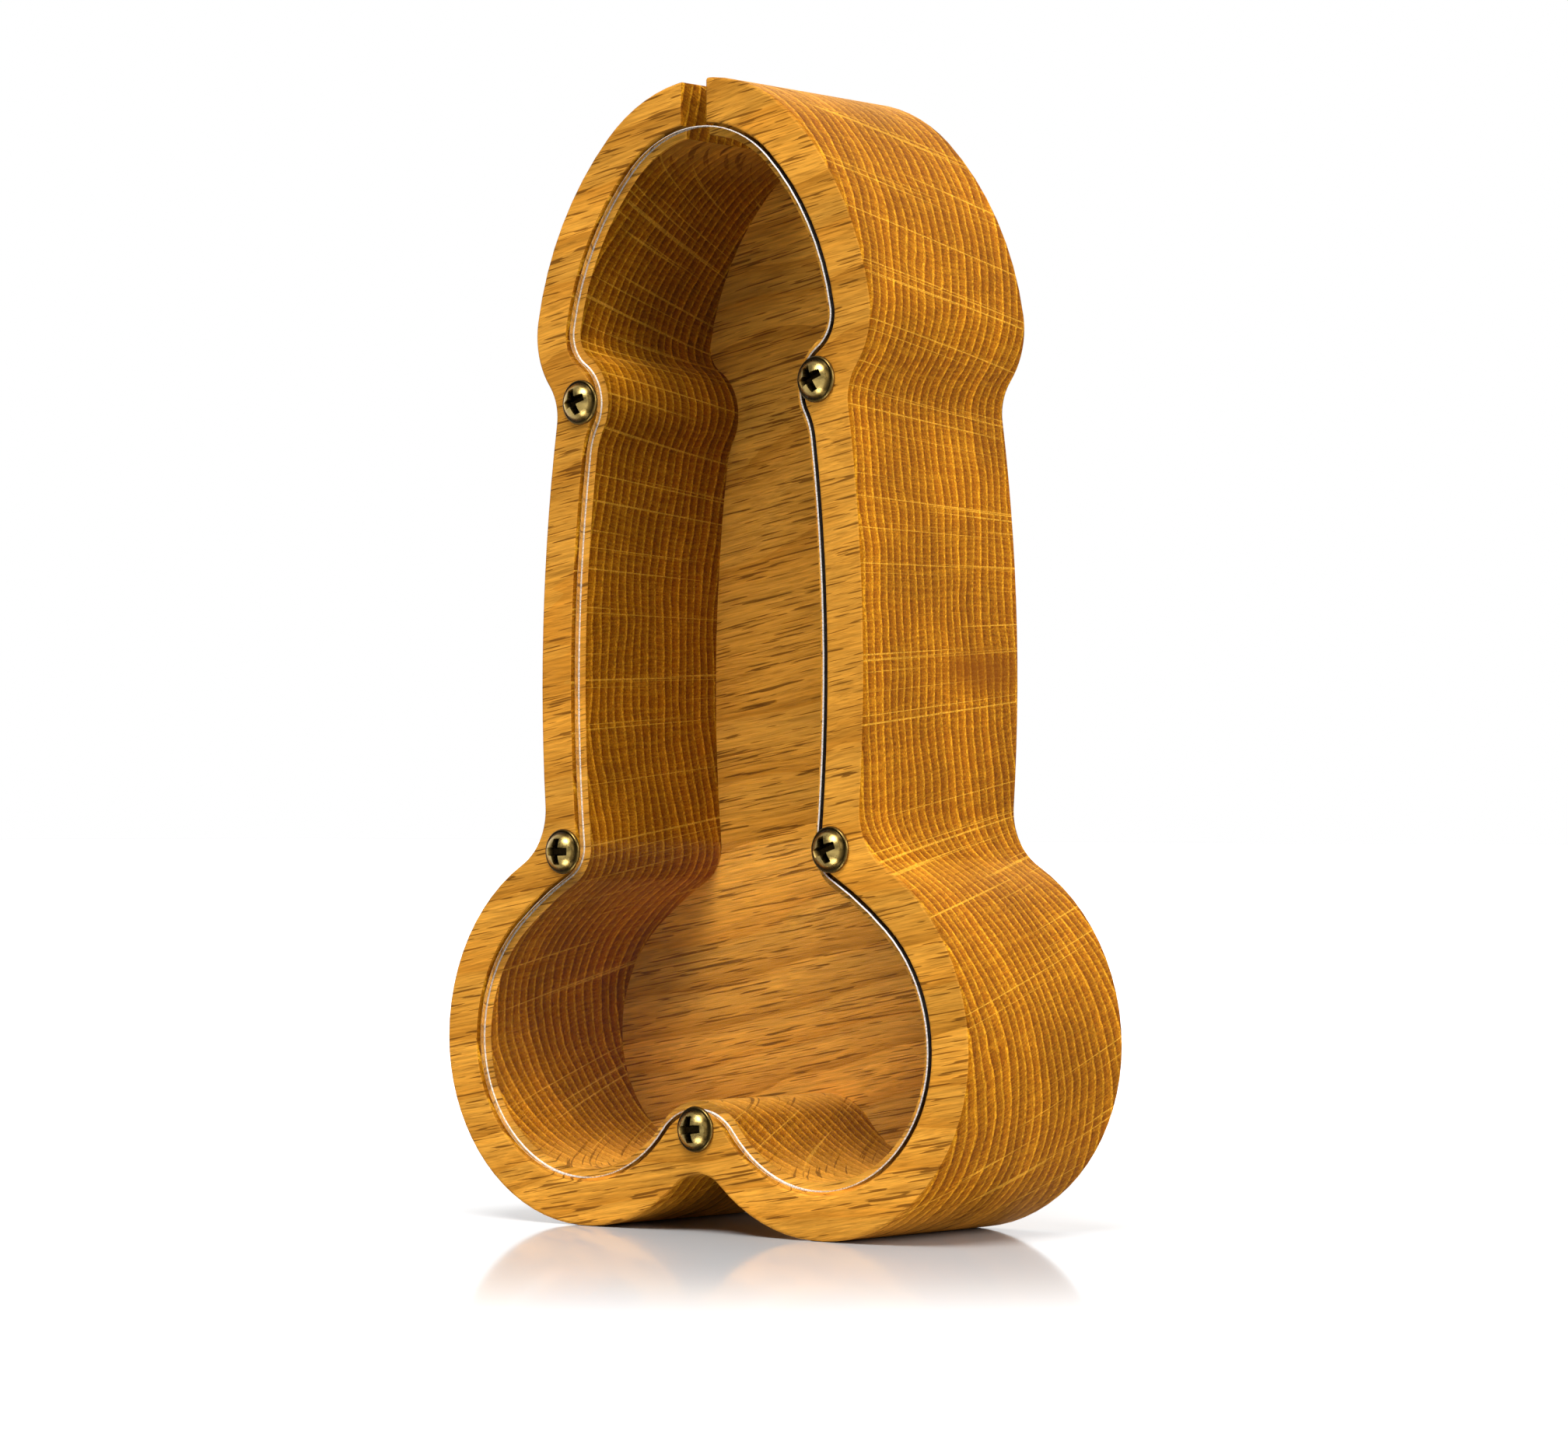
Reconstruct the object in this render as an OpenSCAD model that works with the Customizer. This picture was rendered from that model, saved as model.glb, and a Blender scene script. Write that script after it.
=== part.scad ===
// Wooden money box: one oak block with a pocket routed into its front, a clear window let into
// the mouth of the pocket, and five pan-head screws whose heads hold the window down.
// The front faces -Y, +Z is up, and the box stands on the two lobes at its foot.

/* [Block] */
// Height of the block, from the table to the crown
block_h = 180; // [150:1:230]
// Thickness of the block, front to back
block_d = 39; // [30:0.5:60]

/* [Head] */
// How far the head stands out past the shaft on each side
head_over = 1.3; // [0.5:0.1:6]
// How far the widest place of the head lies below the crown
head_drop = 38.5; // [33:0.5:46]
// Radius of the crown
crown_r = 27.5; // [23:0.5:31]
// Radius of the long curve on each side of the head
head_side_r = 52; // [44:1:80]
// Radius where the head turns in to the neck
head_turn_r = 13.5; // [12:0.5:15]
// Radius of the hollow at the neck
neck_r = 8.4; // [5:0.2:14]

/* [Shaft] */
// Width of the shaft at its widest
shaft_w = 66; // [57:0.5:79]
// How much the shaft draws in, on each side, from its widest place up to the neck
shaft_bow = 3.1; // [1:0.1:5]
// Height of the shaft's widest place between the waist (0) and the neck (1)
shaft_bow_at = 0.4; // [0.2:0.05:0.6]
// Radius of the hollow at the waist, between the shaft and a lobe
waist_r = 10; // [6:0.5:16]

/* [Lobes] */
// Width over both lobes
lobes_w = 106.4; // [96:0.2:124]
// Radius of the lower part of a lobe
lobe_r = 29.3; // [26:0.1:31]
// How much flatter than that the upper outside of a lobe is
lobe_flat = 2.8; // [1:0.1:6]
// Radius of the hollow between the lobes
cleft_r = 6.2; // [4:0.2:10]

/* [Pocket] */
// Thickness of the wooden rim around the window
rim = 7; // [5:0.1:8.5]
// Width of the ledge that the window rests on
ledge = 1.9; // [1.2:0.1:2.4]
// Thickness of the wood left behind the pocket
back_wall = 5; // [3:0.5:15]
// How far the pocket lies off the middle of the block
pocket_dx = -0.4; // [-1:0.1:1]
// Radius of the wood left beside each neck screw
neck_land_r = 7; // [5:0.2:9]
// How far that wood reaches in past the line of the shaft
neck_land = 1.6; // [1:0.1:2.5]
// Radius of the wood left beside each waist screw
waist_land_r = 5; // [4:0.2:7]
// How far that wood is lifted clear of the lobe's curve
waist_lift = 1.75; // [1:0.05:3]
// Thickness of the wood between the cleft and the pocket, where the foot screw stands
foot_land = 9.4; // [8:0.1:11.5]

/* [Window] */
// Thickness of the clear sheet, which lies flush with the front
window_t = 2; // [1.5:0.1:3]
// Gap all round between the sheet and the wood
window_gap = 0.5; // [0.2:0.05:0.8]

/* [Coin slot] */
// Width of the slot in the crown
slot_w = 4.7; // [4.2:0.1:6]
// How far the slot's middle lies off the middle of the block
slot_dx = -1.25; // [-4:0.05:4]

/* [Screws] */
// Diameter of a screw's head
head_d = 7.2; // [6.6:0.1:8]
// Height of a screw's head
head_h = 2.4; // [2:0.1:3]
// Height of the straight side of the head, below its dome
head_side = 0.6; // [0.3:0.1:1]
// Diameter over the thread
thread_d = 3.5; // [3:0.1:4.2]
// Length below the head
screw_l = 16; // [12:0.5:20]
// Length of the point
point_l = 4; // [2:0.5:6]
// Gap between the thread and its hole, all round
hole_gap = 0.05; // [0.01:0.01:0.1]
// Width over the cross recess
cross_w = 4.2; // [3:0.1:5]
// Width of one wing of the cross
wing_w = 1.05; // [0.8:0.05:1.4]
// Depth of the cross recess
cross_d = 1.5; // [1:0.1:1.9]

/* [Hidden] */

$fn = 96;
// Longest stretch and largest turn between two points of an outline
step_len = 5;
step_turn = 5;
// A cut runs this far past the face that it opens
over = 1;
// The coin slot runs back as far as the pocket does
pocket_d = block_d - back_wall;

// The block is placed so that the whole box, screw heads included, is centred on Y
front_y = (head_h - block_d) / 2;
back_y = front_y + block_d;

// An outline is a chain of circles, each touching the next, from the crown down the right-hand
// side to the middle of the foot: [x, z, radius, side]. Side is 1 where the outline bulges out
// and -1 where it is hollow.
OUT = 1;
HOLLOW = -1;
function middle(c) = [c[0], c[1]];

// The point where two touching circles of the chain meet
function touch(a, b) =
    middle(a) + (middle(b) - middle(a)) * a[2] / (a[3] == b[3] ? a[2] - b[2] : a[2] + b[2]);

// The point at distance da from a and db from b, on the left (1) or the right (-1) going a to b
function reach(a, da, b, db, hand) =
    let (way = b - a,
         far = norm(way),
         u = way / far,
         along = (da * da - db * db + far * far) / (2 * far))
    a + u * along + [-u[1], u[0]] * hand * sqrt(da * da - along * along);

// Points along one circle of the chain, from p up to but not including q
function arc(c, p, q) =
    let (from = atan2(p[1] - c[1], p[0] - c[0]),
         to = atan2(q[1] - c[1], q[0] - c[0]),
         gap = (from - to) * c[3],
         turn = gap < 0 ? gap + 360 : gap,
         steps = ceil(max(turn / step_turn, turn * c[2] * PI / 180 / step_len)))
    [for (k = [0 : steps - 1])
        let (a = from - c[3] * turn * k / steps)
        [c[0] + c[2] * cos(a), c[1] + c[2] * sin(a)]];

// The right-hand half of an outline, then the whole of it
function half(chain) =
    let (last = len(chain) - 1,
         top = [0, chain[0][1] + chain[0][2]],
         foot = [0, chain[last][1] + chain[last][2]])
    concat([for (i = [0 : last])
        each arc(chain[i],
                 i == 0 ? top : touch(chain[i - 1], chain[i]),
                 i == last ? foot : touch(chain[i], chain[i + 1]))], [foot]);
function whole(chain) =
    let (right = half(chain), n = len(right))
    concat(right, [for (i = [n - 2 : -1 : 1]) [-right[i][0], right[i][1]]]);

// The same chain moved inwards by d
function inside(chain, d) = [for (c = chain) [c[0], c[1], c[2] - c[3] * d, c[3]]];

// Circles that bulge out
head_z = block_h - head_drop;
head_half = shaft_w / 2 + head_over;
crown = [0, block_h - crown_r, crown_r, OUT];
head_turn = [head_half - head_turn_r, head_z, head_turn_r, OUT];
head_side_at = reach(middle(crown), head_side_r - crown_r,
                     middle(head_turn), head_side_r - head_turn_r, -1);
head_flank = [head_side_at[0], head_side_at[1], head_side_r, OUT];

lobe_z = lobe_r;
lobe_x = lobes_w / 2 - lobe_r;
lobe_low = [lobe_x, lobe_z, lobe_r, OUT];
lobe_high = [lobe_x - lobe_flat, lobe_z, lobe_r + lobe_flat, OUT];

neck_z = head_z - head_turn_r;
waist_z = lobe_z + lobe_r;
shaft_z = waist_z + (neck_z - waist_z) * shaft_bow_at;
shaft_rise = neck_z - shaft_z;
shaft_r = (shaft_rise * shaft_rise + shaft_bow * shaft_bow) / (2 * shaft_bow);
shaft = [shaft_w / 2 - shaft_r, shaft_z, shaft_r, OUT];

// Hollows of the block
neck_at = reach(middle(head_turn), head_turn_r + neck_r, middle(shaft), shaft_r + neck_r, 1);
neck = [neck_at[0], neck_at[1], neck_r, HOLLOW];
waist_at = reach(middle(shaft), shaft_r + waist_r,
                 middle(lobe_high), lobe_high[2] + waist_r, 1);
waist = [waist_at[0], waist_at[1], waist_r, HOLLOW];
cleft_z = lobe_z - sqrt(pow(lobe_r + cleft_r, 2) - lobe_x * lobe_x);
cleft = [0, cleft_z, cleft_r, HOLLOW];

block_chain = [crown, head_flank, head_turn, neck, shaft, waist, lobe_high, lobe_low, cleft];

// The mouth of the pocket follows the block at the rim's thickness, with more wood by each screw
mouth_turn = [head_turn[0], head_turn[1], head_turn_r - rim, OUT];
mouth_shaft = [shaft[0], shaft[1], shaft_r - rim, OUT];
mouth_lobe = [lobe_high[0], lobe_high[1], lobe_high[2] - rim, OUT];

neck_land_x = shaft_w / 2 - shaft_bow - rim - neck_land + neck_land_r;
neck_land_z = head_z - sqrt(pow(mouth_turn[2] + neck_land_r, 2)
                            - pow(neck_land_x - mouth_turn[0], 2));
neck_wood = [neck_land_x, neck_land_z, neck_land_r, HOLLOW];
// The curve that eases the neck land into the shaft
ease_r = 12;
ease_at = reach(middle(neck_wood), neck_land_r + ease_r,
                middle(mouth_shaft), mouth_shaft[2] - ease_r, 1);
neck_ease = [ease_at[0], ease_at[1], ease_r, OUT];

waist_land_at = reach(middle(mouth_shaft), mouth_shaft[2] + waist_land_r,
                      middle(mouth_lobe), mouth_lobe[2] + waist_land_r + waist_lift, 1);
waist_wood = [waist_land_at[0], waist_land_at[1], waist_land_r, HOLLOW];
// The long curve from the waist land out to the lobe
sweep_r = 60;
sweep_at = reach(middle(waist_wood), waist_land_r + sweep_r,
                 middle(mouth_lobe), sweep_r - mouth_lobe[2], -1);
lobe_sweep = [sweep_at[0], sweep_at[1], sweep_r, OUT];

// The foot land rises to foot_top and touches both lobes of the mouth
foot_top = cleft[1] + cleft_r + foot_land;
foot_drop = lobe_z - foot_top;
mouth_lobe_r = lobe_r - rim;
foot_land_r = (pow(lobe_x, 2) + pow(foot_drop, 2) - pow(mouth_lobe_r, 2))
              / (2 * (mouth_lobe_r - foot_drop));
foot_wood = [0, foot_top - foot_land_r, foot_land_r, HOLLOW];

mouth_chain = [inside([crown], rim)[0], inside([head_flank], rim)[0], mouth_turn, neck_wood,
               neck_ease, mouth_shaft, waist_wood, lobe_sweep, mouth_lobe,
               [lobe_x, lobe_z, mouth_lobe_r, OUT], foot_wood];
window_chain = inside(mouth_chain, window_gap);
pocket_chain = inside(mouth_chain, ledge);

// Each screw stands in the wood beside the window, so that its head laps over the window's edge.
// Under the head, a band runs from the hole's edge to where the head just meets the window
hole_r = thread_d / 2 + hole_gap;
hole_spare = 0.5;
head_band = head_d / 2 - window_gap - hole_r;
// Share of that band that lies between hole and pocket at the neck, the waist and the foot
neck_share = 0.85;
waist_share = 0.69;
foot_share = 0.46;
neck_reach = hole_r + neck_share * head_band;
waist_reach = hole_r + waist_share * head_band;
foot_reach = hole_r + foot_share * head_band;
neck_mark = [neck_wood[0] - neck_land_r + neck_reach, neck_wood[1] + 0.7];
waist_mark = [waist_wood[0] - waist_land_r + waist_reach, waist_wood[1] - 0.5];
foot_mark = [0, foot_top - foot_reach];
// How far each was drilled off its mark: neck left and right, waist left and right, foot
wander = [[0, -0.5], [-0.1, 0.6], [-0.2, -0.3], [-0.45, 0.25], [0.15, -0.1]];
marks = [[-neck_mark[0], neck_mark[1]], neck_mark,
         [-waist_mark[0], waist_mark[1]], waist_mark, foot_mark];
screw_spots = [for (i = [0 : len(marks) - 1]) marks[i] + wander[i] + [pocket_dx, 0]];
// How far the cross of each screw happens to be turned
cross_turns = [20, 25, 0, 20, 5];

dome_h = head_h - head_side;
dome_r = (pow(head_d / 2, 2) + dome_h * dome_h) / (2 * dome_h);

// A plate with an outline drawn in X and Z, between two places on Y
module plate(from_y, to_y) {
    translate([0, to_y, 0])
        rotate([90, 0, 0])
            linear_extrude(to_y - from_y)
                children();
}

module screw_holes() {
    for (spot = screw_spots)
        translate([spot[0], front_y - over, spot[1]])
            rotate([-90, 0, 0])
                cylinder(r = hole_r, h = screw_l + hole_spare + over);
}

module coin_slot() {
    low = block_h - rim - 2 * ledge;
    translate([slot_dx - slot_w / 2, front_y - over, low])
        cube([slot_w, pocket_d + over, block_h - low + over]);
}

module block() {
    color("#c8862f")
        difference() {
            plate(front_y, back_y) polygon(whole(block_chain));
            translate([pocket_dx, 0, 0]) {
                plate(front_y - over, front_y + window_t) polygon(whole(mouth_chain));
                plate(front_y - over, front_y + pocket_d) polygon(whole(pocket_chain));
            }
            coin_slot();
            screw_holes();
        }
}

module window() {
    color([0.85, 0.9, 0.92, 0.35])
        translate([pocket_dx, 0, 0])
            plate(front_y, front_y + window_t) polygon(whole(window_chain));
}

// A cross-headed wood screw with its head's underside at the origin and its head towards +Z
module pan_screw(cross_turn) {
    difference() {
        intersection() {
            cylinder(d = head_d, h = head_h);
            translate([0, 0, head_h - dome_r]) sphere(r = dome_r);
        }
        rotate([0, 0, cross_turn])
            for (quarter = [0, 90])
                rotate([0, 0, quarter])
                    translate([-cross_w / 2, -wing_w / 2, head_h - cross_d])
                        cube([cross_w, wing_w, cross_d + over]);
    }
    translate([0, 0, point_l - screw_l])
        cylinder(d = thread_d, h = screw_l - point_l);
    translate([0, 0, -screw_l])
        cylinder(d1 = 0.4, d2 = thread_d, h = point_l);
}

module screw(i) {
    color("#8a7440")
        translate([screw_spots[i][0], front_y, screw_spots[i][1]])
            rotate([90, 0, 0])
                pan_screw(cross_turns[i]);
}

block();
window();
screw(0);  // screw_neck_left
screw(1);  // screw_neck_right
screw(2);  // screw_waist_left
screw(3);  // screw_waist_right
screw(4);  // screw_foot
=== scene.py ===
# %% [markdown]
# # An oiled oak money box with a clear front
# The box is one block of oak, routed hollow from the front. A clear sheet lies in a step round
# the hollow, five brass screws hold it, and coins drop in through a slot in the crown. The hard
# shapes come from the CAD model, which loads as a fixed frame in metres. This file gives each
# part its finish, and remakes the parts whose real edges are softer than the CAD model's.

# %% Load the fixed frame
import bpy
import bmesh
from math import atan2, cos, pi, radians, sin, sqrt
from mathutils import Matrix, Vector


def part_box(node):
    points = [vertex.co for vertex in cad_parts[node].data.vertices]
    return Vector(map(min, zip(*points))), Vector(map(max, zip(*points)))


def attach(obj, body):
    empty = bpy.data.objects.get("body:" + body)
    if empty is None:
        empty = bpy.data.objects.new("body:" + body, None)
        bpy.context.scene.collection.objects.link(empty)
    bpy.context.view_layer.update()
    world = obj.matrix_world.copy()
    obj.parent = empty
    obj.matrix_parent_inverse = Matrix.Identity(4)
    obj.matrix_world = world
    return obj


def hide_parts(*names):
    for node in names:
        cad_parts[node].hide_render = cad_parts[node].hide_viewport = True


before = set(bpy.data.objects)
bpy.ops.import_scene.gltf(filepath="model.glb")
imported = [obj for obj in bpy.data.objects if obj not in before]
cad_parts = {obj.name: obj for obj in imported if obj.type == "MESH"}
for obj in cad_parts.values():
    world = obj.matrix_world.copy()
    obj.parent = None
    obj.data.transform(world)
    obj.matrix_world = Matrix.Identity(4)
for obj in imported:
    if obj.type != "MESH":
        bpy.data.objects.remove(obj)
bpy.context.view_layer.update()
MM = 0.001
block_lo, block_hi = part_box("block")
front_y, back_y = block_lo.y, block_hi.y
screw_names = [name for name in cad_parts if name.startswith("screw_")]
print("block", [round(v / MM, 2) for v in block_hi - block_lo], "mm;", len(screw_names), "screws")

# %% [markdown]
# ## The camera
# The box is seen from its right, with the lens a little lower than the middle of the box. A long
# lens keeps its edges nearly parallel. The camera could be placed by a tracking constraint, but
# a rotation worked out from two points is plainer, and stays put when the camera is moved later.

# %% Place the camera
lens_mm = 117.76
camera_at = Vector((0.5179, -0.6251, 0.0639))
camera_aim = Vector((0.01729, -0.01830, 0.07979))
camera_roll = radians(0.09)

camera = bpy.data.objects.new("camera", bpy.data.cameras.new("camera"))
camera.data.sensor_width = 36
camera.data.lens = lens_mm
camera.location = camera_at
camera.rotation_euler = (camera_aim - camera_at).to_track_quat("-Z", "Y").to_euler()
camera.rotation_euler.rotate_axis("Z", camera_roll)
bpy.context.scene.collection.objects.link(camera)
bpy.context.scene.camera = camera
bpy.context.scene.view_settings.view_transform = "Standard"
print("camera", round((camera_aim - camera_at).length, 4), "m from its aim")

# %% [markdown]
# ## Helpers for nodes
# Finishes and repeated shapes are both made of nodes. A short helper that adds a node, sets its
# values and joins its inputs keeps each later step to a few readable lines.

# %% Node helpers
def add_node(tree, kind, values=None, **settings):
    made = tree.nodes.new(kind)
    for name, value in settings.items():
        setattr(made, name, value)
    for socket, value in (values or {}).items():
        if isinstance(value, bpy.types.NodeSocket):
            tree.links.new(value, made.inputs[socket])
        else:
            made.inputs[socket].default_value = value
    return made


def figure(tree, operation, *terms, clamp=False):
    values = {place: term for place, term in enumerate(terms)}
    return add_node(tree, "ShaderNodeMath", values, operation=operation, use_clamp=clamp).outputs[0]


def scaled(tree, vector, x, y, z):
    return add_node(tree, "ShaderNodeVectorMath", {0: vector, 1: (x, y, z)}, operation="MULTIPLY").outputs[0]


def noise(tree, vector, detail=2.0, roughness=0.5, output="Factor"):
    values = {"Vector": vector, "Scale": 1.0, "Detail": detail, "Roughness": roughness}
    return add_node(tree, "ShaderNodeTexNoise", values).outputs[0 if output == "Factor" else 1]


def step(tree, value, start, end, low=0.0, high=1.0):
    values = {"Value": value, "From Min": start, "From Max": end, "To Min": low, "To Max": high}
    return add_node(tree, "ShaderNodeMapRange", values, interpolation_type="SMOOTHSTEP").outputs[0]


def blend(tree, share, first, second, how="MIX"):
    return add_node(tree, "ShaderNodeMix", {0: share, 6: first, 7: second}, data_type="RGBA",
                    blend_type=how).outputs[2]


def ramp(tree, value, stops):
    made = add_node(tree, "ShaderNodeValToRGB", {0: value})
    marks = made.color_ramp.elements
    while len(marks) < len(stops):
        marks.new(1.0)
    for mark, (place, colour) in zip(marks, stops):
        mark.position = place
        mark.color = (*colour, 1.0)
    return made.outputs[0]


def new_finish(name):
    finish = bpy.data.materials.new(name)
    finish.use_nodes = True
    finish.node_tree.nodes.clear()
    return finish, finish.node_tree


# %% [markdown]
# ## Where the wood lies in its log
# A picture of grain wrapped round the box would break at every corner. Real grain runs through
# the solid, so each spot's place is turned into a place in the log: along the pith, out from it
# and round it. The pith lies behind the box and runs from left to right, a little uphill. The
# front is then a plain-sawn face, and both sides are end grain.

# %% Log coordinates, in millimetres
pith_behind = 0.245
pith_height = 0.100
grain_rise = radians(10)
pith = (0.0, front_y + pith_behind, pith_height)
wander_wide = 2.6
wander_fine = 0.30


def log_place(tree):
    where = add_node(tree, "ShaderNodeTexCoord").outputs["Object"]
    values = {"Vector": where, "Location": pith, "Rotation": (0, -grain_rise, 0), "Scale": (MM, MM, MM)}
    return add_node(tree, "ShaderNodeMapping", values, vector_type="TEXTURE").outputs[0]


def wandered(tree, place):
    for length, width, reach in ((70, 26, wander_wide), (24, 4.5, wander_fine)):
        shift = noise(tree, scaled(tree, place, 1 / length, 1 / width, 1 / width), output="Colour")
        centred = add_node(tree, "ShaderNodeVectorMath", {0: shift, 1: (-0.5, -0.5, -0.5)}).outputs[0]
        moved = scaled(tree, centred, 2 * reach, 2 * reach, 2 * reach)
        place = add_node(tree, "ShaderNodeVectorMath", {0: place, 1: moved}).outputs[0]
    return place


def round_pith(tree, place):
    parts = add_node(tree, "ShaderNodeSeparateXYZ", {0: place}).outputs
    towards = figure(tree, "MULTIPLY", parts[1], -1.0)
    out = figure(tree, "SQRT", figure(tree, "ADD", figure(tree, "MULTIPLY", towards, towards),
                                      figure(tree, "MULTIPLY", parts[2], parts[2])))
    arc = figure(tree, "MULTIPLY", figure(tree, "ARCTAN2", parts[2], towards), pith_behind / MM)
    return parts[0], out, arc


print("pith at", [round(v / MM, 1) for v in pith], "mm")

# %% [markdown]
# ## Growth rings
# Each year's ring starts with pale, porous early wood and closes with dense, dark late wood. A
# saw-tooth of the distance from the pith gives both, and a random number for each ring keeps
# neighbouring years from looking alike. Across the end grain the early wood is not an even line
# but a row of open vessels, so a fine noise breaks it into beads.

# %% Rings
ring_width = 1.9
bead_length, bead_width = 1.0, 0.45


def growth_rings(tree, out):
    count = figure(tree, "DIVIDE", out, ring_width)
    phase = figure(tree, "FRACT", count)
    year = figure(tree, "FLOOR", count)
    luck = add_node(tree, "ShaderNodeTexWhiteNoise", {"W": year}, noise_dimensions="1D").outputs["Value"]
    return phase, luck


def early_wood(tree, phase):
    return figure(tree, "MULTIPLY", step(tree, phase, 0.0, 0.10), step(tree, phase, 0.34, 0.20))


def beads(tree, place):
    row = noise(tree, scaled(tree, place, 1 / bead_length, 1 / bead_width, 1 / bead_width),
                detail=2.0, roughness=0.6)
    return step(tree, row, 0.36, 0.60, 0.15, 1.0)


# %% [markdown]
# ## Rays, fibres and pores
# Oak has rays: thin sheets that stand along the grain and point at the pith. End grain cuts
# them into long pale lines that fan out from the pith, and a plain-sawn face cuts them into
# short dark dashes. One stretched noise gives both. Fibres and pores are finer noises, drawn out
# along the grain.

# %% Rays, fibres and pores
fibre_length, fibre_width = 16, 0.42
pore_length, pore_width = 5, 0.26


def rays(tree, round_log, length, depth, spacing, start, end):
    along, out, arc = round_log
    place = add_node(tree, "ShaderNodeCombineXYZ", {
        0: figure(tree, "DIVIDE", along, length),
        1: figure(tree, "DIVIDE", out, depth),
        2: figure(tree, "DIVIDE", arc, spacing),
    }).outputs[0]
    return step(tree, noise(tree, place, detail=1.0), start, end)


def fibres(tree, place):
    fine = scaled(tree, place, 1 / fibre_length, 1 / fibre_width, 1 / fibre_width)
    return noise(tree, fine, detail=4.0, roughness=0.7)


def pores(tree, place):
    fine = scaled(tree, place, 1 / pore_length, 1 / pore_width, 1 / pore_width)
    spots = noise(tree, fine, detail=1.0)
    return step(tree, spots, 0.56, 0.68)


# %% [markdown]
# ## Oiled oak
# Oil turns oak honey-gold. End grain drinks more of it than the faces do, so it goes darker and
# redder and shows its rings more strongly. The surface normal along the grain says which it is.
# A few darker clouds and one mineral stain on the right side break up the evenness.

# %% Oak colours
face_light = (0.74, 0.350, 0.048)
face_mid = (0.62, 0.265, 0.029)
face_dark = (0.38, 0.130, 0.008)
end_light = (0.58, 0.255, 0.011)
end_mid = (0.30, 0.097, 0.002)
end_dark = (0.17, 0.044, 0.001)
ray_light = (0.64, 0.310, 0.025)
dash_dark = (0.13, 0.042, 0.004)
stain_at = (0.033, 0.011, 0.0875)
stain_size = (0.020, 0.010, 0.0032)


def stain(tree):
    where = add_node(tree, "ShaderNodeTexCoord").outputs["Object"]
    values = {"Vector": where, "Location": stain_at, "Scale": stain_size}
    place = add_node(tree, "ShaderNodeMapping", values, vector_type="TEXTURE").outputs[0]
    spread = add_node(tree, "ShaderNodeVectorMath", {0: place}, operation="LENGTH").outputs["Value"]
    return step(tree, spread, 0.2, 1.6, 1.0, 0.0)


def end_grain_share(tree):
    facing = add_node(tree, "ShaderNodeTexCoord").outputs["Normal"]
    parts = add_node(tree, "ShaderNodeSeparateXYZ", {0: facing}).outputs
    return step(tree, figure(tree, "ABSOLUTE", parts[0]), 0.15, 0.75)


# %% How strongly each mark shows
face_evenness = 0.55
face_fine_ray = 0.22
face_dash = 0.80
face_pore = 0.20
end_fine_ray = 0.20
end_broad_ray = 0.70
end_pore = 0.45
stain_share = 0.65
grit_size = 0.24
skin_relief = 0.00012
skin_gloss = 0.03


# %% Oak, put together
def tinted(tree, colour, tone, low, high):
    value = step(tree, tone, 0.2, 0.8, low, high)
    tint = add_node(tree, "ShaderNodeCombineColor", {0: value, 1: value, 2: value}).outputs[0]
    return blend(tree, 1.0, colour, tint, how="MULTIPLY")


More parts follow.
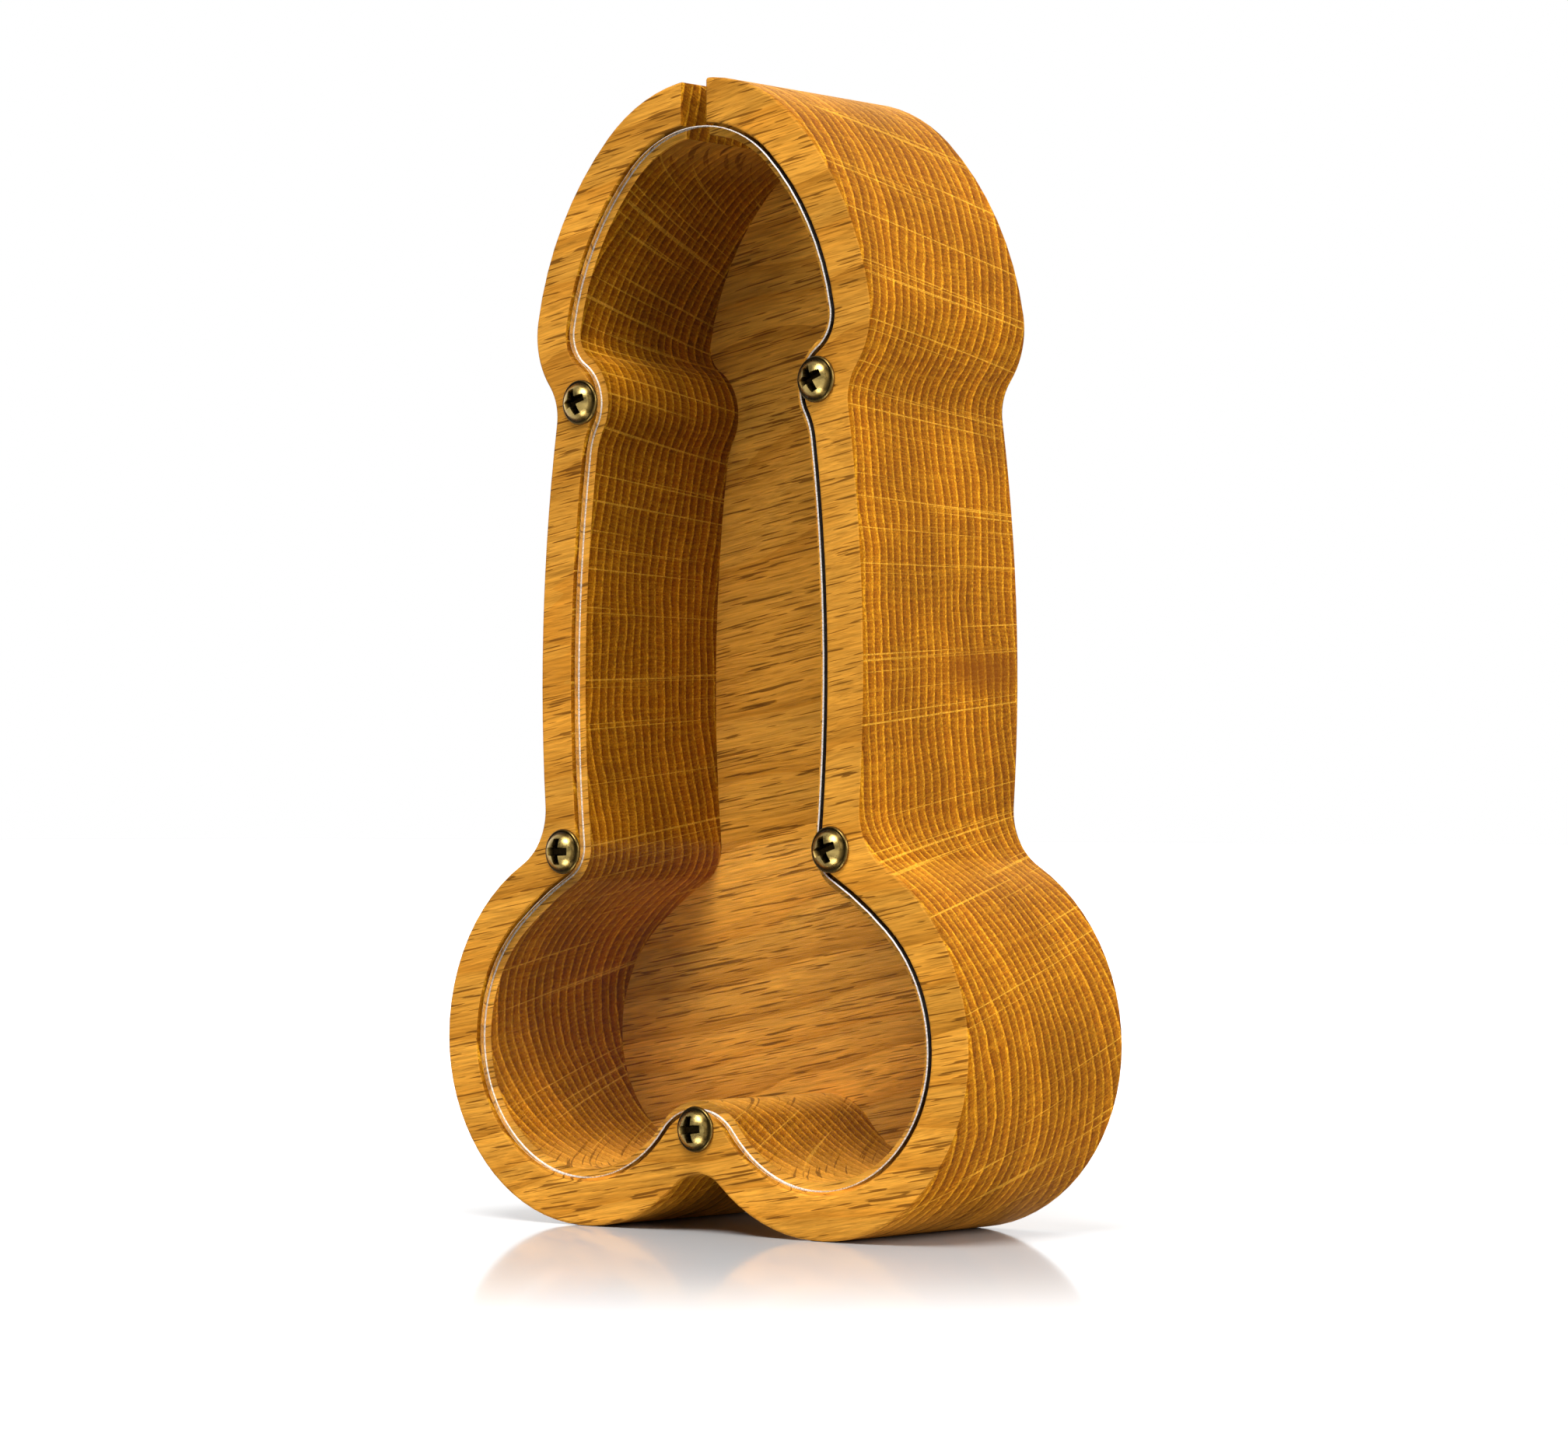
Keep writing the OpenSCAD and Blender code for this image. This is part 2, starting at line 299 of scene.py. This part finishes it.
def oiled_oak(name):
    finish, tree = new_finish(name)
    still = log_place(tree)
    place = wandered(tree, still)
    round_log = round_pith(tree, place)
    calm_log = round_pith(tree, still)
    phase, luck = growth_rings(tree, round_log[1])
    broad_ray = rays(tree, calm_log, 13.0, 150.0, 0.50, 0.665, 0.70)
    dash = rays(tree, calm_log, 9.0, 60.0, 0.36, 0.612, 0.64)
    fine_ray = rays(tree, round_log, 5.0, 8.0, 0.32, 0.50, 0.60)
    fibre = fibres(tree, place)
    pore = pores(tree, place)
    porous = figure(tree, "MULTIPLY", pore, step(tree, phase, 0.45, 0.15))

    face = ramp(tree, phase, [(0.0, face_mid), (0.2, face_light), (0.7, face_mid), (0.97, face_dark)])
    face = blend(tree, face_evenness, face, (*face_mid, 1))
    face = blend(tree, figure(tree, "MULTIPLY", fine_ray, face_fine_ray), face, (*face_dark, 1))
    face = blend(tree, figure(tree, "MULTIPLY", dash, face_dash), face, (*dash_dark, 1))
    face = blend(tree, figure(tree, "MULTIPLY", pore, face_pore), face, (*dash_dark, 1))
    ends = ramp(tree, phase, [(0.0, end_mid), (0.45, end_mid), (0.95, end_dark)])
    early = figure(tree, "MULTIPLY", early_wood(tree, phase), beads(tree, place))
    ends = blend(tree, early, ends, (*end_light, 1))
    ends = blend(tree, figure(tree, "MULTIPLY", fine_ray, end_fine_ray), ends, (*end_light, 1))
    ends = blend(tree, figure(tree, "MULTIPLY", broad_ray, end_broad_ray), ends, (*ray_light, 1))
    ends = blend(tree, figure(tree, "MULTIPLY", porous, end_pore), ends, (*end_dark, 1))
    grit = noise(tree, scaled(tree, place, 1 / 3, 1 / grit_size, 1 / grit_size), detail=1.0)
    ends = tinted(tree, ends, grit, 0.72, 1.28)
    wood = blend(tree, end_grain_share(tree), face, ends)
    clouds = noise(tree, scaled(tree, place, 1 / 60, 1 / 14, 1 / 14))
    for tone, low, high in ((fibre, 0.66, 1.34), (luck, 0.90, 1.10), (clouds, 0.84, 1.16)):
        wood = tinted(tree, wood, tone, low, high)
    wood = blend(tree, figure(tree, "MULTIPLY", stain(tree), stain_share), wood, (*end_dark, 1))

    height = figure(tree, "SUBTRACT", figure(tree, "MULTIPLY", fibre, 0.5), pore)
    bump = add_node(tree, "ShaderNodeBump", {"Strength": 0.35, "Distance": skin_relief, "Height": height})
    shine = step(tree, fibre, 0.2, 0.8, 0.62, 0.46)
    skin = add_node(tree, "ShaderNodeBsdfPrincipled", {
        "Base Color": wood, "Roughness": shine, "Specular IOR Level": skin_gloss, "Normal": bump.outputs[0],
    })
    add_node(tree, "ShaderNodeOutputMaterial", {"Surface": skin.outputs[0]})
    return finish


oak = oiled_oak("oiled_oak")
print("oak finish:", len(oak.node_tree.nodes), "nodes")

# %% [markdown]
# ## The block
# The CAD block has the right shape but knife-sharp edges. Hand sanding rounds every edge on the
# front, on the back and at the top of the slot by about half a millimetre. A copy of the mesh is
# cleaned into whole faces, and only the outward corners are rounded, so the box's size stays.

# %% Copy a CAD part as clean faces
def clean_copy(node):
    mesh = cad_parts[node].data.copy()
    mesh.materials.clear()
    work = bmesh.new()
    work.from_mesh(mesh)
    bmesh.ops.remove_doubles(work, verts=work.verts, dist=1e-7)
    bmesh.ops.dissolve_limit(work, angle_limit=radians(0.3), verts=work.verts, edges=work.edges)
    return mesh, work


def finished_piece(mesh, work, name, *finishes, sharp=radians(50)):
    work.to_mesh(mesh)
    work.free()
    mesh.name = name
    for finish in finishes:
        mesh.materials.append(finish)
    mesh.shade_smooth()
    mesh.set_sharp_from_angle(angle=sharp)
    piece = bpy.data.objects.new(name, mesh)
    bpy.context.scene.collection.objects.link(piece)
    return piece


def outward_edges(work, wanted, least=radians(50)):
    return [edge for edge in work.edges
            if len(edge.link_faces) == 2 and edge.calc_face_angle_signed(0) > least
            and wanted(edge.verts[0].co, edge.verts[1].co)]


# %% Round the block's edges
same = 1e-6
outer_round = 0.0005
screw_axes = [(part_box(name)[0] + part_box(name)[1]) / 2 for name in screw_names]
hole_reach = 0.0025
slot_lip = 0.001


def by_a_hole(spot):
    return any((spot.x - axis.x) ** 2 + (spot.z - axis.z) ** 2 < hole_reach ** 2 for axis in screw_axes)


def on_front_or_back(a, b):
    flat = abs(a.y - b.y) < same
    return flat and (abs(a.y - front_y) < same or abs(a.y - back_y) < same) and not by_a_hole(a)


def on_slot_lip(a, b):
    through = abs(a.x - b.x) < same and abs(a.z - b.z) < same
    return through and a.z > block_hi.z - slot_lip


block_mesh, block_work = clean_copy("block")
edges = outward_edges(block_work, lambda a, b: on_front_or_back(a, b) or on_slot_lip(a, b))
bmesh.ops.bevel(block_work, geom=edges, offset=outer_round, segments=3, profile=0.5,
                affect="EDGES", clamp_overlap=False)
oak_block = finished_piece(block_mesh, block_work, "oak_block", oak, sharp=radians(12))
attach(oak_block, "block")
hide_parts("block")
print("block:", len(edges), "edges rounded,", len(oak_block.data.polygons), "faces")

# %% [markdown]
# ## The clear sheet
# The sheet is clear acrylic, sawn to shape. Its two faces are polished and its edge is sawn, so
# the edge shows fine marks across its thickness. The sharp corners are taken off with a small
# flat, which looks white. A film of air lies behind the sheet, as two faces in one place would
# render as black specks. Lamps have to reach the hollow through the sheet, so rays on their way
# to a lamp pass straight through it, where a plain glass would leave the hollow black.

# %% Clear and sawn finishes
sheet_bend = 1.49
saw_mark = 0.35
saw_stroke = 20
mark_depth = 0.0001
sawn_strength = 0.10
polished_strength = 0.01
lamp_light_kept = 0.85


def sheet_finish(name, roughness, tint, gloss, scatter=0.0):
    finish, tree = new_finish(name)
    where = add_node(tree, "ShaderNodeTexCoord").outputs["Object"]
    if scatter:
        across, along = 1 / (saw_mark * MM), 1 / (saw_stroke * MM)
        marks = noise(tree, scaled(tree, where, across, along, across))
        strength = sawn_strength
    else:
        marks = noise(tree, scaled(tree, where, 90.0, 90.0, 90.0), detail=4.0)
        strength = polished_strength
    rough = step(tree, marks, 0.3, 0.8, roughness * 0.6, roughness * 1.4)
    bump = add_node(tree, "ShaderNodeBump", {
        "Strength": strength, "Distance": mark_depth, "Height": marks}).outputs[0]
    kind = "ShaderNodeBsdfGlass" if scatter else "ShaderNodeBsdfRefraction"
    bent = add_node(tree, kind, {
        "Color": (*tint, 1), "Roughness": rough, "IOR": sheet_bend, "Normal": bump}).outputs[0]
    white = add_node(tree, "ShaderNodeBsdfDiffuse", {"Color": (*tint, 1)}).outputs[0]
    mirror = add_node(tree, "ShaderNodeBsdfGlossy", {"Roughness": rough, "Normal": bump}).outputs[0]
    inner = add_node(tree, "ShaderNodeMixShader", {0: scatter, 1: bent, 2: white}).outputs[0]
    outer = add_node(tree, "ShaderNodeMixShader", {0: gloss, 1: inner, 2: mirror}).outputs[0]
    kept = (lamp_light_kept, lamp_light_kept, lamp_light_kept, 1)
    through = add_node(tree, "ShaderNodeBsdfTransparent", {"Color": kept}).outputs[0]
    to_lamp = add_node(tree, "ShaderNodeLightPath").outputs["Is Shadow Ray"]
    both = add_node(tree, "ShaderNodeMixShader", {0: to_lamp, 1: outer, 2: through})
    add_node(tree, "ShaderNodeOutputMaterial", {"Surface": both.outputs[0]})
    return finish


polished = sheet_finish("polished_acrylic", 0.015, (0.98, 0.99, 0.99), gloss=0.005)
sawn = sheet_finish("sawn_acrylic_edge", 0.04, (1.0, 0.97, 0.92), gloss=0.01, scatter=0.03)
broken = sheet_finish("broken_acrylic_corner", 0.30, (1.0, 0.97, 0.92), gloss=0.02, scatter=0.50)

# %% Make the sheet
sheet_flat = 0.00016
air_gap = 0.00003
sheet_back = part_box("window")[1].y
sheet_mesh, sheet_work = clean_copy("window")
edges = outward_edges(sheet_work, lambda a, b: abs(a.y - b.y) < same)
bmesh.ops.bevel(sheet_work, geom=edges, offset=sheet_flat, segments=1, affect="EDGES", clamp_overlap=False)
for corner in sheet_work.verts:
    if corner.co.y > sheet_back - same:
        corner.co.y -= air_gap
for face in sheet_work.faces:
    tilt = abs(face.normal.y)
    face.material_index = 0 if tilt > 0.99 else 2 if tilt > 0.3 else 1
clear_front = finished_piece(sheet_mesh, sheet_work, "clear_front", polished, sawn, broken,
                             sharp=radians(30))
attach(clear_front, "window")
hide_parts("window")
print("sheet:", len(edges), "edges with a flat,", len(clear_front.data.polygons), "faces")

# %% [markdown]
# ## Antique brass
# The screws are plated in antique brass: dark brown in the hollows and gold where the plating
# is rubbed. Each screw's mesh carries a number that falls with depth below the dome and close to
# the groove round it, so both darken wherever the screw stands. That darkening is partly the
# plating's own patina and partly painted shade in the cross and along the groove.

# %% Antique brass finish
def antique_brass(name):
    finish, tree = new_finish(name)
    where = add_node(tree, "ShaderNodeTexCoord").outputs["Object"]
    rub_and_painted_shade = add_node(tree, "ShaderNodeAttribute", attribute_name="rub_and_painted_shade").outputs["Fac"]
    patches = noise(tree, scaled(tree, where, 700.0, 700.0, 700.0), detail=4.0, roughness=0.6)
    specks = noise(tree, scaled(tree, where, 3000.0, 3000.0, 3000.0), detail=2.0)
    # The stored number darkens the cross and the groove: partly the plating's patina, partly painted shade.
    sharpened_rub_and_shade = figure(tree, "POWER", rub_and_painted_shade, 2.5)
    tone = figure(tree, "MULTIPLY", sharpened_rub_and_shade, step(tree, patches, 0.25, 0.75, 0.72, 1.0))
    colour = ramp(tree, tone, [(0.0, (0.016, 0.010, 0.003)), (0.45, (0.20, 0.130, 0.036)),
                               (1.0, (0.56, 0.400, 0.130))])
    shine = step(tree, specks, 0.3, 0.7, 0.26, 0.36)
    bump = add_node(tree, "ShaderNodeBump", {"Strength": 0.15, "Distance": 0.00003, "Height": specks})
    skin = add_node(tree, "ShaderNodeBsdfPrincipled", {
        "Base Color": colour, "Metallic": 1.0, "Roughness": shine, "Normal": bump.outputs[0],
    })
    add_node(tree, "ShaderNodeOutputMaterial", {"Surface": skin.outputs[0]})
    return finish


brass = antique_brass("antique_brass")

# %% [markdown]
# ## The shape of one screw
# A pan-head wood screw is turned from wire: a domed head, a plain underside, a thin core and a
# point, with a thread rolled round the core. Its outline is drawn once as a half-profile, from
# the middle of the dome down to the point, and turned about its axis.

# %% Draw the half-profile of a screw, in millimetres
head_lo, head_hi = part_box(screw_names[0])
head_r = (head_hi.x - head_lo.x) / 2 / MM
screw_l = (head_hi.y - front_y) / MM
head_h = 2.4
flange_h = 0.62
groove = 0.1
dome_edge_r = 0.84 * head_r
dome_h = head_h - flange_h - groove
dome_r = (dome_edge_r ** 2 + dome_h ** 2) / (2 * dome_h)
thread_r = 1.75
core_r = 1.25
fillet = 0.3
point_l = 4.0
dome_steps = 14
flange_steps = 5


def screw_profile():
    reach = atan2(dome_edge_r, dome_r - dome_h)
    turns = [reach * k / dome_steps for k in range(dome_steps + 1)]
    spots = [(dome_r * sin(turn), head_h - dome_r * (1 - cos(turn))) for turn in turns]
    spots.append((dome_edge_r + groove, flange_h))
    flange_w = head_r - dome_edge_r - 2 * groove
    turns = [pi / 2 * k / flange_steps for k in range(flange_steps + 1)]
    spots += [(head_r - flange_w * (1 - sin(turn)), flange_h * (0.2 + 0.8 * cos(turn))) for turn in turns]
    spots += [(head_r - groove, 0.0), (core_r + fillet, 0.0), (core_r, -fillet)]
    spots += [(core_r, point_l - screw_l), (0.0, -screw_l)]
    return spots


spots = screw_profile()
profile_mesh = bpy.data.meshes.new("screw_profile")
profile_mesh.from_pydata([(r, -z, 0) for r, z in spots], [(k, k + 1) for k in range(len(spots) - 1)], [])
print("screw: head", round(2 * head_r, 2), "mm across,", round(screw_l, 2), "mm long")

# %% [markdown]
# ## The screw tree
# Five screws of one kind call for Geometry Nodes: one tree with named sizes, used five times.
# The tree turns the profile about its axis, cuts a tapered cross into the dome, sweeps a small
# triangle along a helix for the thread, and sets the screw in its place.

# %% Tree inputs
def open_tree(name, inputs):
    tree = bpy.data.node_groups.new(name, "GeometryNodeTree")
    tree.interface.new_socket("Geometry", in_out="INPUT", socket_type="NodeSocketGeometry")
    tree.interface.new_socket("Geometry", in_out="OUTPUT", socket_type="NodeSocketGeometry")
    keys = {}
    for label, kind in inputs:
        socket = tree.interface.new_socket(label, in_out="INPUT", socket_type="NodeSocket" + kind)
        keys[label] = socket.identifier
    return tree, keys, add_node(tree, "NodeGroupInput").outputs, add_node(tree, "NodeGroupOutput")


screw_inputs = [("Cross Width", "Float"), ("Wing Width", "Float"), ("Cross Depth", "Float"),
                ("Cross Turn", "Float"), ("Head Height", "Float"), ("Dome Radius", "Float"),
                ("Core Radius", "Float"), ("Thread Radius", "Float"), ("Thread Length", "Float"),
                ("Thread Turns", "Float"), ("Groove Radius", "Float"), ("Seat", "Vector"),
                ("Finish", "Material")]
screw_tree, screw_keys, given, made_screw = open_tree("pan_head_screw", screw_inputs)

# %% Turn the profile about the axis
AXIS_GAP = 1e-3
hoop = add_node(screw_tree, "GeometryNodeCurvePrimitiveCircle", {"Resolution": 72, "Radius": AXIS_GAP})
half = add_node(screw_tree, "GeometryNodeMeshToCurve", {"Mesh": given["Geometry"]})
turned = add_node(screw_tree, "GeometryNodeCurveToMesh", {
    "Curve": hoop.outputs["Curve"], "Profile Curve": half.outputs[0]})
body = add_node(screw_tree, "GeometryNodeMergeByDistance", {
    "Geometry": turned.outputs[0], "Distance": 4 * AXIS_GAP}).outputs[0]

# %% Cut the cross
wing_taper = 0.45
uneven = 1.013


def wing(tree, turn, stretch):
    cone = add_node(tree, "GeometryNodeMeshCone", {
        "Vertices": 4, "Radius Top": sqrt(0.5), "Radius Bottom": wing_taper * sqrt(0.5), "Depth": 2.0})
    square = add_node(tree, "GeometryNodeTransform", {
        "Geometry": cone.outputs["Mesh"], "Rotation": (0, 0, pi / 4), "Translation": (0, 0, -1.0)})
    size = add_node(tree, "ShaderNodeCombineXYZ", {
        0: given["Cross Width"], 1: given["Wing Width"],
        2: figure(tree, "MULTIPLY", given["Cross Depth"], stretch)})
    shaped = add_node(tree, "GeometryNodeTransform", {
        "Geometry": square.outputs[0], "Scale": size.outputs[0]})
    spin = add_node(tree, "ShaderNodeCombineXYZ", {2: figure(tree, "ADD", given["Cross Turn"], turn)})
    lift = add_node(tree, "ShaderNodeCombineXYZ", {2: given["Head Height"]})
    stood = add_node(tree, "GeometryNodeTransform", {
        "Geometry": shaped.outputs[0], "Rotation": spin.outputs[0], "Translation": lift.outputs[0]})
    return stood.outputs[0]


cut = add_node(screw_tree, "GeometryNodeMeshBoolean", {"Mesh 1": body}, operation="DIFFERENCE",
               solver="EXACT")
for turn, stretch in ((0.0, 1.0), (pi / 2, uneven)):
    screw_tree.links.new(wing(screw_tree, turn, stretch), cut.inputs["Mesh 2"])

# %% Mark how rubbed each spot is, with painted shade in the cross and along the groove
cross_shade = 0.7
groove_shade = 0.6
spot = add_node(screw_tree, "GeometryNodeInputPosition").outputs[0]
centre_z = figure(screw_tree, "SUBTRACT", given["Head Height"], given["Dome Radius"])
centre = add_node(screw_tree, "ShaderNodeCombineXYZ", {2: centre_z}).outputs[0]
apart = add_node(screw_tree, "ShaderNodeVectorMath", {0: spot, 1: centre},
                 operation="DISTANCE").outputs["Value"]
below = figure(screw_tree, "SUBTRACT", given["Dome Radius"], apart)
# Darker with depth in the cross: patina and painted shade.
depth_patina_and_shade = add_node(screw_tree, "ShaderNodeMapRange", {
    "Value": below, "From Min": cross_shade, "From Max": 0.0, "To Min": 0.0, "To Max": 1.0}).outputs[0]
flat_spot = scaled(screw_tree, spot, 1, 1, 0)
off_axis = add_node(screw_tree, "ShaderNodeVectorMath", {0: flat_spot}, operation="LENGTH").outputs["Value"]
past_groove = figure(screw_tree, "SUBTRACT", off_axis, given["Groove Radius"])
from_groove = figure(screw_tree, "ABSOLUTE", past_groove)
# Darker close to the groove round the dome: patina and painted shade.
groove_patina_and_shade = add_node(screw_tree, "ShaderNodeMapRange", {
    "Value": from_groove, "From Min": 0.05, "From Max": groove_shade,
    "To Min": 0.25, "To Max": 1.0}).outputs[0]
marked = add_node(screw_tree, "GeometryNodeStoreNamedAttribute", {
    "Geometry": cut.outputs[0], "Name": "rub_and_painted_shade", "Value": figure(screw_tree, "MULTIPLY", depth_patina_and_shade, groove_patina_and_shade)},
    data_type="FLOAT", domain="POINT")

# %% Wind the thread, then set the screw in place
thread_top = -0.8
helix = add_node(screw_tree, "GeometryNodeCurveSpiral", {
    "Resolution": 28, "Rotations": given["Thread Turns"], "Start Radius": given["Core Radius"],
    "End Radius": given["Core Radius"], "Height": given["Thread Length"], "Reverse": False})
deep = figure(screw_tree, "SUBTRACT", given["Thread Radius"], given["Core Radius"])
tooth = add_node(screw_tree, "GeometryNodeCurvePrimitiveCircle", {"Resolution": 4, "Radius": deep})
rolled = add_node(screw_tree, "GeometryNodeCurveToMesh", {
    "Curve": helix.outputs[0], "Profile Curve": tooth.outputs["Curve"], "Fill Caps": True})
drop = add_node(screw_tree, "ShaderNodeCombineXYZ", {
    2: figure(screw_tree, "SUBTRACT", thread_top, given["Thread Length"])})
lowered = add_node(screw_tree, "GeometryNodeTransform", {
    "Geometry": rolled.outputs[0], "Translation": drop.outputs[0]})
whole = add_node(screw_tree, "GeometryNodeJoinGeometry")
screw_tree.links.new(marked.outputs[0], whole.inputs[0])
screw_tree.links.new(lowered.outputs[0], whole.inputs[0])
placed = add_node(screw_tree, "GeometryNodeTransform", {
    "Geometry": whole.outputs[0], "Rotation": (pi / 2, 0, 0), "Scale": (MM, MM, MM),
    "Translation": given["Seat"]})
real = add_node(screw_tree, "GeometryNodeRealizeInstances", {"Geometry": placed.outputs[0]})
coated = add_node(screw_tree, "GeometryNodeSetMaterial", {
    "Geometry": real.outputs[0], "Material": given["Finish"]})
screw_tree.links.new(coated.outputs[0], made_screw.inputs[0])

# %% Drive the five screws
cross_turns = {"screw_neck_left": 20, "screw_neck_right": 25, "screw_waist_left": 0,
               "screw_waist_right": 20, "screw_foot": 5}
screw_sizes = {"Cross Width": 7.0, "Wing Width": 1.95, "Cross Depth": 1.5,
               "Head Height": head_h, "Dome Radius": dome_r, "Core Radius": core_r,
               "Thread Radius": thread_r, "Thread Length": screw_l - point_l - 1.0,
               "Thread Turns": 9.0, "Groove Radius": dome_edge_r + groove, "Finish": brass}


def drive_screw(node):
    lo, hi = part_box(node)
    maker = bpy.data.objects.new(node + "_maker", profile_mesh)
    bpy.context.scene.collection.objects.link(maker)
    nodes = maker.modifiers.new("screw", "NODES")
    nodes.node_group = screw_tree
    values = dict(screw_sizes)
    values["Cross Turn"] = radians(cross_turns[node])
    values["Seat"] = ((lo.x + hi.x) / 2, front_y, (lo.z + hi.z) / 2)
    for label, value in values.items():
        nodes[screw_keys[label]] = value
    mesh = bpy.data.meshes.new_from_object(maker.evaluated_get(bpy.context.evaluated_depsgraph_get()))
    bpy.data.objects.remove(maker)
    mesh.shade_smooth()
    mesh.set_sharp_from_angle(angle=radians(35))
    piece = bpy.data.objects.new("brass_" + node, mesh)
    bpy.context.scene.collection.objects.link(piece)
    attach(piece, node)
    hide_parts(node)
    return piece


screws = [drive_screw(node) for node in screw_names]

# %% [markdown]
# ## Floor and light
# The box stands on a plain pale floor that mirrors its foot a little, and that is painted darker
# close to the box as shade round its foot. One soft light comes from above and one from the
# right. The room is bright behind the box and dimmer in front, and the floor throws back less
# light than its looks suggest, so that the hollow keeps its depth. The floor is part of the stage
# and not of the box.

# %% Floor
floor_half = 12.0
floor_mesh = bpy.data.meshes.new("floor")
floor_mesh.from_pydata([(-floor_half, -floor_half, 0), (floor_half, -floor_half, 0),
                        (floor_half, floor_half, 0), (-floor_half, floor_half, 0)], [], [(0, 1, 2, 3)])
floor = bpy.data.objects.new("floor", floor_mesh)
bpy.context.scene.collection.objects.link(floor)
paint, tree = new_finish("pale_floor")
where = add_node(tree, "ShaderNodeTexCoord").outputs["Object"]
away = add_node(tree, "ShaderNodeVectorMath", {0: where}, operation="LENGTH").outputs["Value"]
gloss_near, gloss_far, gloss_share = 0.06, 0.21, 0.45
tone_far, painted_shade_near_tone, far_tone = 0.30, 0.55, 0.95
bounce = 0.6
share = step(tree, away, gloss_near, gloss_far, gloss_share, 0.0)
# Painted shade: the floor's own tone is darker close to the box, round its foot.
tone = step(tree, away, gloss_near, tone_far, painted_shade_near_tone, far_tone)
direct = add_node(tree, "ShaderNodeLightPath").outputs["Is Camera Ray"]
tone = figure(tree, "MULTIPLY", tone, step(tree, direct, 0.0, 1.0, bounce, 1.0))
pale = add_node(tree, "ShaderNodeCombineColor", {0: tone, 1: tone, 2: tone}).outputs[0]
matt = add_node(tree, "ShaderNodeBsdfDiffuse", {"Color": pale})
gloss = add_node(tree, "ShaderNodeBsdfGlossy", {"Color": (1, 1, 1, 1), "Roughness": 0.08})
both = add_node(tree, "ShaderNodeMixShader", {0: share, 1: matt.outputs[0], 2: gloss.outputs[0]})
add_node(tree, "ShaderNodeOutputMaterial", {"Surface": both.outputs[0]})
floor_mesh.materials.append(paint)

# %% Room light
room_back, room_front = 1.35, 0.12
world = bpy.data.worlds.new("studio")
world.use_nodes = True
world.node_tree.nodes.clear()
tree = world.node_tree
looking = add_node(tree, "ShaderNodeTexCoord").outputs["Generated"]
towards_back = add_node(tree, "ShaderNodeSeparateXYZ", {0: looking}).outputs[1]
level = step(tree, towards_back, -0.45, 0.3, room_front, room_back)
lit = add_node(tree, "ShaderNodeBackground", {"Color": (1, 1, 1, 1), "Strength": level})
seen = add_node(tree, "ShaderNodeBackground", {"Color": (1, 1, 1, 1), "Strength": 1.0})
direct = add_node(tree, "ShaderNodeLightPath").outputs["Is Camera Ray"]
both = add_node(tree, "ShaderNodeMixShader", {0: direct, 1: lit.outputs[0], 2: seen.outputs[0]})
add_node(tree, "ShaderNodeOutputWorld", {"Surface": both.outputs[0]})
bpy.context.scene.world = world

# %% Soft lamps
def soft_lamp(name, place, aim, width, power):
    data = bpy.data.lights.new(name, "AREA")
    data.shape = "SQUARE"
    data.size = width
    data.energy = power
    lamp = bpy.data.objects.new(name, data)
    lamp.location = place
    lamp.rotation_euler = (Vector(aim) - Vector(place)).to_track_quat("-Z", "Y").to_euler()
    lamp.visible_camera = False
    bpy.context.scene.collection.objects.link(lamp)


middle = (0.0, 0.0, (block_lo.z + block_hi.z) / 2)
soft_lamp("lamp_right", (1.3, -0.2, 0.6), middle, 0.8, 10.5)

sky = bpy.data.objects.new("sky_light", bpy.data.lights.new("sky_light", "SUN"))
sky.data.energy = 3.5
sky.data.angle = radians(30)
sky.rotation_euler = (radians(31), 0, radians(22))
bpy.context.scene.collection.objects.link(sky)
